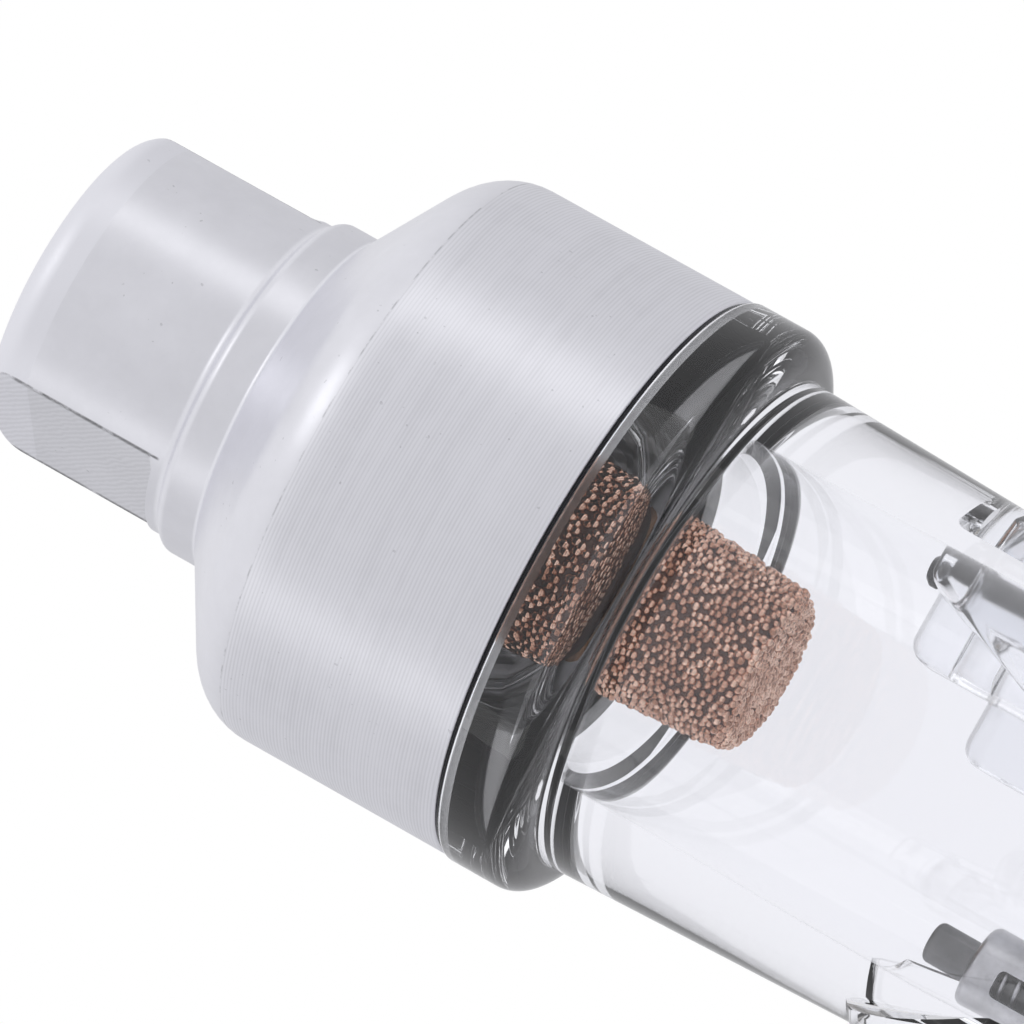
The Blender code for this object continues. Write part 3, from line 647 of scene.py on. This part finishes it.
# two grip pads on opposite sides, narrower at the top
def addPads(bowl, s):
    pads = {"topHalf": 4.0, "shoulderHalf": 7.5, "drop": 6.0, "proud": 0.42, "top": 19.3, "foot": 31.3,
            "topSlope": 0.47, "root": 1.0}
    taper = (s["wallTop"] - s["wallFoot"]) / bowlLength
    topRadius = s["wallTop"] - taper * pads["top"] + pads["proud"]
    footRadius = s["wallTop"] - taper * pads["foot"] + pads["proud"]
    inside, topEdge = s["bore"] + pads["root"], up(pads["top"] - pads["topSlope"])
    corners = [(topRadius - pads["proud"] - 0.05, topEdge), (topRadius, up(pads["top"]), 0.25),
               (footRadius, up(pads["foot"]), 0.25), (inside, up(pads["foot"])), (inside, topEdge)]
    band = turnPiece("padBand", corners, footZ, 160)
    span = block((-15, -pads["shoulderHalf"], at(pads["foot"]) - 1),
                 (15, pads["shoulderHalf"], at(pads["top"]) + 1))
    openEdit(span)
    bpy.ops.mesh.select_all(action="SELECT")
    shoulder = (0, 0, at(pads["top"] + pads["drop"]) / 1000)
    bpy.ops.mesh.bisect(plane_co=shoulder, plane_no=(0, 0, 1))
    pickFaces(span, lambda centre, normal: normal.z > 0.9)
    narrow = pads["topHalf"] / pads["shoulderHalf"]
    bpy.ops.transform.resize(value=(1, narrow, 1), center_override=(0, 0, 0))
    bpy.ops.mesh.select_all(action="DESELECT")
    closeEdit(span)
    merge(band, span, "INTERSECT")
    merge(bowl, band, "UNION")


def addRiser(bowl, s):
    riser = {"inner": 3.6, "half": 3.3, "top": 12.9, "slantTop": 6.6, "slantFoot": 0.9, "ductIn": 5.9,
             "ductOut": 9.6, "ductHalf": 1.7, "roof": 1.7, "portRadius": 1.1, "portDrop": 1.6,
             "lobeIn": 0.8, "lobeHalf": 2.3, "lobeTop": 17.6, "hub": 3.4, "hubTop": 24.3,
             "crossRadius": 1.1, "crossDepth": 26.6, "plugX": 7.55, "plugHole": 0.7}
    r = riser
    root = s["depth"] + 0.4
    wallIn = s["bore"] + 0.9
    far = block((r["inner"], -0.3, at(root)), (wallIn, r["half"], at(r["top"])), 0.95, 6)
    merge(bowl, far, "UNION")
    near = block((r["slantTop"], -r["half"], at(root + 0.1)), (wallIn + 0.4, 0.2, at(r["top"] + 0.05)))
    openEdit(near, "VERT")
    shape = bmesh.from_edit_mesh(near.data)
    for vertex in shape.verts:      # the lower inner edge leans inwards
        vertex.select_set(vertex.co.z < at(20) / 1000 and vertex.co.x < 0.008)
    shape.select_flush_mode()
    bmesh.update_edit_mesh(near.data)
    bpy.ops.transform.translate(value=((r["slantFoot"] - r["slantTop"]) / 1000, 0, 0))
    bpy.ops.mesh.select_all(action="SELECT")
    bpy.ops.mesh.bevel(offset=0.0005, segments=4, affect="EDGES")
    closeEdit(near)
    merge(bowl, near, "UNION")
    lobe = block((r["lobeIn"], -r["lobeHalf"], at(root + 0.2)),
                 (r["ductIn"], r["lobeHalf"], at(r["lobeTop"])), 0.9, 6)
    merge(bowl, lobe, "UNION")
    hub = bar(r["hub"], (0, 0, at(s["depth"] + 0.5)), (0, 0, at(r["hubTop"])), 64, 0.5)
    merge(bowl, hub, "UNION")
    duct = block((r["ductIn"], -r["ductHalf"], at(r["crossDepth"] + r["crossRadius"])),
                 (r["ductOut"], r["ductHalf"], at(r["top"] + r["roof"])), 0.5, 4)
    merge(bowl, duct, "DIFFERENCE")
    middle, crossZ = (r["ductIn"] + r["ductOut"]) / 2, at(r["crossDepth"])
    cross = bar(r["crossRadius"], (-r["crossRadius"], 0, crossZ), (middle, 0, crossZ), 40)
    merge(bowl, cross, "DIFFERENCE")
    down = bar(s["outletBore"] * 0.98, (0, 0, footZ * 1000 + 0.8), (0, 0, crossZ), 40)
    merge(bowl, down, "DIFFERENCE")
    portZ = at(r["top"] + r["roof"] + r["portDrop"])
    port = bar(r["portRadius"], (r["inner"] - 1, 0.4, portZ), (r["ductIn"] + 1, 0.4, portZ), 40)
    merge(bowl, port, "DIFFERENCE")
    plugHole = bar(r["plugHole"], (r["plugX"], 0, at(r["top"] + 0.6)),
                   (r["plugX"], 0, at(r["top"] - 1)), 32)
    merge(bowl, plugHole, "DIFFERENCE")


def makeBowl():
    low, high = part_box("drain_bush")
    drainX, drainY = (low.x + high.x) * 500, (low.y + high.y) * 500
    sizes = {"neckTop": 6.7, "neck": 10.9, "neckLand": 10.4, "landTop": 2.7, "neckBore": 7.8,
             "pitch": 1.0, "threadDepth": 0.5, "bore": 8.55, "step": 3.4, "flange": 13.6, "band": 2.45,
             "bead": 1.4, "wallTop": 11.75, "wallFoot": 10.75, "footEdge": 1.0, "depth": 28.5,
             "pocket": 3.7, "pocketTop": 4.0, "outletBore": 1.5, "drainHole": 2.05}
    s = sizes
    bowl = turnPiece("bowlShell", bowlOutline(s), footZ, 160, 6)
    cutThread(bowl, footZ, s["neck"], up(-s["landTop"]) + 0.1, up(-s["neckTop"] + 0.55), s["pitch"],
              -s["threadDepth"], 0.7)
    addPads(bowl, s)
    addRiser(bowl, s)
    drainHole = bar(s["drainHole"], (drainX, drainY, footZ * 1000 - 1),
                    (drainX, drainY, at(s["depth"] - 1)), 48)
    merge(bowl, drainHole, "DIFFERENCE")
    return finishPiece(bowl, "bowl_body", looks["clear"], "clear_plastic", "bowl", degrees=30)


makeBowl()
print("stage: bowl")


def makeBowlSeal():
    low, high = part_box("bowl_o_ring")
    sizes = {"swell": 0.35, "sunk": 0.12, "width": 2.35, "shadeLip": 0.7, "film": 0.2, "edge": 0.75}
    s = sizes
    height = (high.z - low.z) * 1000
    outer = high.x * 1000 + s["swell"]
    base = (flangeZ - low.z) * 1000 - s["sunk"]    # pressed against the flange, with no air between
    # the lip and film make a thin black sheet under the rim: partly the squeezed edge of the seal, partly
    # a dark sheet standing in for shade between rim and flange
    inner, shadeLip, film = outer - s["width"], outer + s["shadeLip"], base + s["film"]   # the lip is under the rim
    corners = [(outer, height, s["edge"]), (outer, film), (shadeLip, film, 0.03), (shadeLip, base, 0.03),
               (inner, base, 0.2), (inner, height, s["edge"])]
    ring = turnPiece("bowlSealRing", corners, low.z, 128, 8)
    finishPiece(ring, "seal_body", looks["rubber"], "black_rubber", "bowl_o_ring")


def makePlug():
    plugLow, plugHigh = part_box("riser_plug")
    sizes = {"dome": 0.62, "head": 0.85, "headHeight": 0.6, "shank": 0.6, "tip": 0.4}
    s = sizes
    tall = (plugHigh.z - plugLow.z) * 1000
    under = tall - s["headHeight"]
    corners = [(0, tall), (s["dome"], tall, 0.15), (s["head"], tall - 0.25, 0.1), (s["head"], under, 0.05),
               (s["shank"], under), (s["shank"], 0.2, 0.1), (s["tip"], 0, 0.05), (0, 0)]
    plug = turnPiece("riserPlug", corners, plugLow.z, 48)
    shiftTo(plug, (plugLow.x + plugHigh.x) / 2, (plugLow.y + plugHigh.y) / 2)
    finishPiece(plug, "bowl_body", looks["rubber"], "black_rubber", "riser_plug")


makeBowlSeal()
makePlug()


def knurl(piece, count, rim, steepest, depth):
    openEdit(piece)

    def inSlot(centre, normal):
        slot = round(math.atan2(centre.y, centre.x) / math.tau * count) % 2 == 0
        return slot and math.hypot(centre.x, centre.y) > rim / 1000 and abs(normal.z) < steepest

    pickFaces(piece, inSlot)
    bpy.ops.mesh.inset(thickness=0.00002, depth=-depth / 1000, use_individual=False)
    return closeEdit(piece, False)


def makeFitting():
    low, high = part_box("outlet_fitting")
    drainLow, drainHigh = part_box("drain_bush")
    flatTurn = math.atan2(drainLow.y + drainHigh.y, drainLow.x + drainHigh.x)
    sizes = {"spigot": 2.4, "spigotLength": 3.6, "neck": 3.6, "neckLength": 4.9, "flange": 6.0,
             "flangeHeight": 3.5, "flatsApart": 10.0, "thread": 4.86, "threadLength": 8.0, "root": 4.3,
             "undercut": 1.2, "groove": 5.25, "grooveDepth": 0.5, "bore": 1.5, "pitch": 0.907,
             "threadDepth": 0.55, "seat": 1.4}
    s = sizes
    shoulder = s["threadLength"]
    flangeTop = shoulder + s["flangeHeight"]
    top = flangeTop + s["neckLength"]
    threadTop, grooveTop = shoulder - s["undercut"], shoulder + s["grooveDepth"]
    corners = [(s["bore"], top + s["spigotLength"], 0.05), (s["spigot"], top + s["spigotLength"], 0.3)]
    corners += [(s["spigot"], top, 0.05), (s["neck"], top, 0.15), (s["neck"], flangeTop, 0.6),
                (s["flange"], flangeTop, 0.4), (s["flange"], shoulder, 0.4), (s["groove"], shoulder, 0.05),
                (s["groove"], grooveTop, 0.05), (s["root"], grooveTop, 0.05),
                (s["root"], threadTop, 0.1), (s["thread"], threadTop - 0.55)]
    corners += wallPoints(s["thread"], threadTop - 0.6, 0.75, s["pitch"], 12)
    corners += [(s["thread"], 0.65), (s["thread"] - 0.65, 0, 0.05), (s["bore"] + s["seat"], 0, 0.08),
                (s["bore"], s["seat"] * 1.7, 0.1)]
    fitting = turnPiece("outletNipple", corners, low.z, 128, 5)
    cutThread(fitting, low.z, s["thread"], 0.3, threadTop - 0.5, s["pitch"], -s["threadDepth"], 0.5)
    for side in (0, 1):
        cutter = block((s["flatsApart"] / 2, -12, low.z * 1000 + shoulder - 0.1),
                       (12, 12, low.z * 1000 + flangeTop + 1.0), 0.1, 2)
        turnAbout(cutter, flatTurn + side * math.pi)
        merge(fitting, cutter, "DIFFERENCE")
    finishPiece(fitting, "bowl_body", looks["nickel"], "nickel_plate", "outlet_fitting")


def makeInsert():
    low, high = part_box("outlet_insert")
    sizes = {"radius": 3.55, "waist": 3.25, "bore": 2.5, "slots": 72, "slotsPast": 3.3, "slotDepth": 0.12}
    s = sizes
    tall = (high.z - low.z) * 1000
    corners = [(s["radius"], tall, 0.15), (s["radius"], tall * 0.62, 0.1), (s["waist"], tall * 0.56, 0.1),
               (s["waist"], tall * 0.44, 0.1), (s["radius"], tall * 0.38, 0.1), (s["radius"], 0, 0.15),
               (s["bore"], 0, 0.1), (s["bore"], tall, 0.1)]
    insert = turnPiece("outletInsert", corners, low.z, s["slots"], 3)
    knurl(insert, s["slots"], s["slotsPast"], 0.3, s["slotDepth"])
    finishPiece(insert, "bowl_body", looks["brass"], "turned_brass", "outlet_insert", degrees=25)


makeFitting()
makeInsert()
print("stage: seals and outlet")


bushLow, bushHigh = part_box("drain_bush")
axisX, axisY = (bushLow.x + bushHigh.x) / 2, (bushLow.y + bushHigh.y) / 2


def makeBush():
    sizes = {"bore": 1.15, "spigot": 1.45, "spigotLength": 0.9, "body": 1.95, "flange": 2.5,
             "flangeTop": 1.0}
    s = sizes
    tall = (bushHigh.z - bushLow.z) * 1000
    ledge = tall - s["spigotLength"]
    corners = [(s["bore"], tall, 0.05), (s["spigot"], tall, 0.08), (s["spigot"], ledge, 0.05),
               (s["body"], ledge, 0.1), (s["body"], s["flangeTop"], 0.1),
               (s["flange"], s["flangeTop"], 0.1), (s["flange"], 0, 0.22), (s["bore"], 0, 0.15)]
    bush = turnPiece("drainBush", corners, bushLow.z, 64, 4)
    shiftTo(bush, axisX, axisY)
    finishPiece(bush, "bowl_body", looks["nickel"], "nickel_plate", "drain_bush")


def makeCage():
    low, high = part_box("drain_cage")
    sizes = {"bore": 1.05, "outer": 1.85, "inner": 1.55, "roof": 0.8, "windows": 3, "windowHalf": 0.55,
             "windowFoot": 1.2, "windowTop": 1.4}
    s = sizes
    tall = (high.z - low.z) * 1000
    corners = [(s["bore"], tall, 0.08), (s["outer"], tall, 0.38), (s["outer"], 0, 0.06),
               (s["inner"], 0, 0.06), (s["inner"], tall - s["roof"], 0.2),
               (s["bore"], tall - s["roof"], 0.08)]
    cage = turnPiece("drainCage", corners, low.z, 96, 5)
    windowLow, windowHigh = low.z * 1000 + s["windowFoot"], high.z * 1000 - s["windowTop"]
    for i in range(s["windows"]):
        window = block((1.2, -s["windowHalf"], windowLow), (3, s["windowHalf"], windowHigh), 0.25, 4)
        turnAbout(window, math.tau * (i + 0.25) / s["windows"])
        merge(cage, window, "DIFFERENCE")
    shiftTo(cage, axisX, axisY)
    finishPiece(cage, "bowl_body", looks["steel"], "stainless_steel", "drain_cage")


def makeSpring():
    low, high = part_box("drain_spring")
    wire, coil, turns, perTurn = 0.14, 1.15, 5, 28
    first, last = low.z + wire / 1000, high.z - wire / 1000
    curve = bpy.data.curves.new("drainSpring", "CURVE")
    curve.dimensions = "3D"
    curve.bevel_depth = wire / 1000
    curve.bevel_resolution = 3
    curve.use_fill_caps = True
    line = curve.splines.new("POLY")
    count = turns * perTurn
    line.points.add(count)
    for i in range(count + 1):
        share = i / count
        rise = share - 0.5 * math.sin(math.tau * share) / math.tau * 0.6   # closer coils at both ends
        turn = math.tau * turns * share
        line.points[i].co = (coil / 1000 * math.cos(turn), coil / 1000 * math.sin(turn),
                             first + (last - first) * rise, 1)
    spring = bpy.data.objects.new("drainSpring", curve)
    bpy.context.scene.collection.objects.link(spring)
    startClean()
    bpy.context.view_layer.objects.active = spring
    spring.select_set(True)
    bpy.ops.object.convert(target="MESH")
    spring = bpy.context.active_object
    openEdit(spring)
    closeEdit(spring)
    shiftTo(spring, axisX, axisY)
    finishPiece(spring, "bowl_body", looks["steel"], "stainless_steel", "drain_spring", degrees=50)
    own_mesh(spring)


def makeStem():
    low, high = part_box("drain_stem")
    sizes = {"tip": 0.9, "disc": 1.35, "discHeight": 0.6, "shank": 0.6}
    s = sizes
    tall = (high.z - low.z) * 1000
    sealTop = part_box("drain_seal")[1].z
    discLow = (sealTop - low.z) * 1000 + 0.1
    discHigh = discLow + s["discHeight"]
    corners = [(0, tall), (s["tip"], tall, 0.3), (s["tip"], discHigh, 0.08), (s["disc"], discHigh, 0.1),
               (s["disc"], discLow, 0.1), (s["shank"], discLow, 0.03), (s["shank"], 0, 0.1), (0, 0)]
    stem = turnPiece("drainStem", corners, low.z, 64, 6)
    shiftTo(stem, axisX, axisY)
    finishPiece(stem, "drain_plunger", looks["stem"], "stainless_steel", "drain_stem")


def makeButton():
    low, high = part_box("drain_button")
    sizes = {"bore": 0.7, "radius": 1.3, "web": 0.7, "dish": 0.08, "foot": 0.6, "crown": 0.45,
             "slots": 60, "slotsPast": 1.25, "slotDepth": 0.07}
    s = sizes
    tall = (high.z - low.z) * 1000
    corners = [(s["bore"], tall, 0.05), (s["radius"], tall, 0.2), (s["radius"], tall - s["crown"]),
               (s["radius"], s["foot"]), (s["radius"], 0, 0.5), (0, s["dish"]), (0, s["web"]),
               (s["bore"], s["web"], 0.05)]
    button = turnPiece("drainButton", corners, low.z, s["slots"], 5)
    knurl(button, s["slots"], s["slotsPast"], 0.1, s["slotDepth"])
    shiftTo(button, axisX, axisY)
    finishPiece(button, "drain_plunger", looks["nickel"], "nickel_plate", "drain_button", degrees=25)


makeBush()
makeCage()
makeSpring()
makeStem()
makeButton()
print("stage: drain valve")


stays = {"inlet_washer": "nylon", "element_gasket": "fibre", "element_carrier": "aged",
         "outlet_o_ring": "rubber", "outlet_thread_seal": "rubber", "drain_bush_o_ring": "rubber",
         "drain_seal": "rubber", "seal_clip": "steel"}
for node, finish in stays.items():
    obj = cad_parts[node]
    obj.data.materials.clear()
    obj.data.materials.append(looks[finish])


def makeFloor():
    startClean()
    bpy.ops.mesh.primitive_plane_add(size=8, location=(0, 0, -1.3))
    floor = bpy.context.active_object
    floor.name = "floor"
    look = Look("paleFloor", (0.86, 0.86, 0.87), 0.7)
    look.place()
    look.put("Base Color", look.mix(look.noise(0.4, 2.0), (0.84, 0.84, 0.85, 1), (0.88, 0.88, 0.89, 1)))
    floor.data.materials.append(look.material)


# a white surround, seen white behind and through the clear bowl and softer by reflection
def makeSurround():
    surround = {"around": (0.67, 0.67, 0.69, 1), "above": (0.9, 0.9, 0.92, 1),
                "through": (0.9, 0.905, 0.95, 1), "seen": (1, 1, 1, 1)}
    world = bpy.data.worlds.new("surround")
    bpy.context.scene.world = world
    world.use_nodes = True
    net = Net(world.node_tree)
    background = net.tree.nodes["Background"]
    direction = net.add("ShaderNodeTexCoord", output="Generated")
    height = net.add("ShaderNodeSeparateXYZ", {}, {0: direction}, "Z")
    color = net.mix(net.step(height, 0.1, 0.75), surround["around"], surround["above"])
    for ray, tint in (("Is Transmission Ray", surround["through"]), ("Is Camera Ray", surround["seen"])):
        color = net.mix(net.add("ShaderNodeLightPath", output=ray), color, tint)
    net.feed(background.inputs["Color"], color)
    net.feed(background.inputs["Strength"], 1.0)


def makeLamps():
    # name, degrees round from the front, degrees up, distance, width, height, brightness
    aim = Vector((0, 0, (rimZ + headHigh.z) / 2))
    lamps = [("softRight", 58, 0, 0.5, 0.16, 0.6, 0.5), ("softLeft", -69, 0, 0.5, 0.12, 0.6, 0.4),
             ("softFront", 10, 50, 0.5, 0.2, 0.2, 0.7)]
    for name, around, lifted, distance, width, height, brightness in lamps:
        turn, lift = math.radians(around), math.radians(lifted)
        place = aim + Vector((math.sin(turn) * math.cos(lift), -math.cos(turn) * math.cos(lift),
                              math.sin(lift))) * distance
        light = bpy.data.lights.new(name, "AREA")
        light.shape = "RECTANGLE"
        light.size = width
        light.size_y = height
        light.energy = brightness * math.pi * width * height
        lamp = bpy.data.objects.new(name, light)
        bpy.context.scene.collection.objects.link(lamp)
        lamp.location = place
        lamp.rotation_euler = (aim - place).to_track_quat("-Z", "Y").to_euler()


def makeCamera():
    view = {"tilt": 13.6, "lean": 29.27, "distance": 0.6, "across": 0.04378,
            "right": 0.003883, "down": 0.002923}
    tilt, lean = math.radians(view["tilt"]), math.radians(view["lean"])
    right = Vector((math.sin(lean), math.sin(tilt) * math.cos(lean), -math.cos(lean) * math.cos(tilt)))
    up = Vector((math.cos(lean), -math.sin(tilt) * math.sin(lean), math.sin(lean) * math.cos(tilt)))
    back = Vector((0, -math.cos(tilt), -math.sin(tilt)))
    aim = Vector((0, 0, rimZ)) - right * view["right"] + up * view["down"]
    lens = bpy.data.cameras.new("productCamera")
    lens.sensor_width = 36
    lens.lens = 36 * view["distance"] / view["across"]
    lens.clip_start = 0.01
    lens.clip_end = 20
    camera = bpy.data.objects.new("productCamera", lens)
    bpy.context.scene.collection.objects.link(camera)
    turn = Matrix((right, up, back)).transposed().to_4x4()
    camera.matrix_world = Matrix.Translation(aim + back * view["distance"]) @ turn
    bpy.context.scene.camera = camera


makeFloor()
makeSurround()
makeLamps()
makeCamera()
bpy.context.scene.view_settings.view_transform = "Standard"
print("stage: light and camera")

bpy.context.view_layer.update()
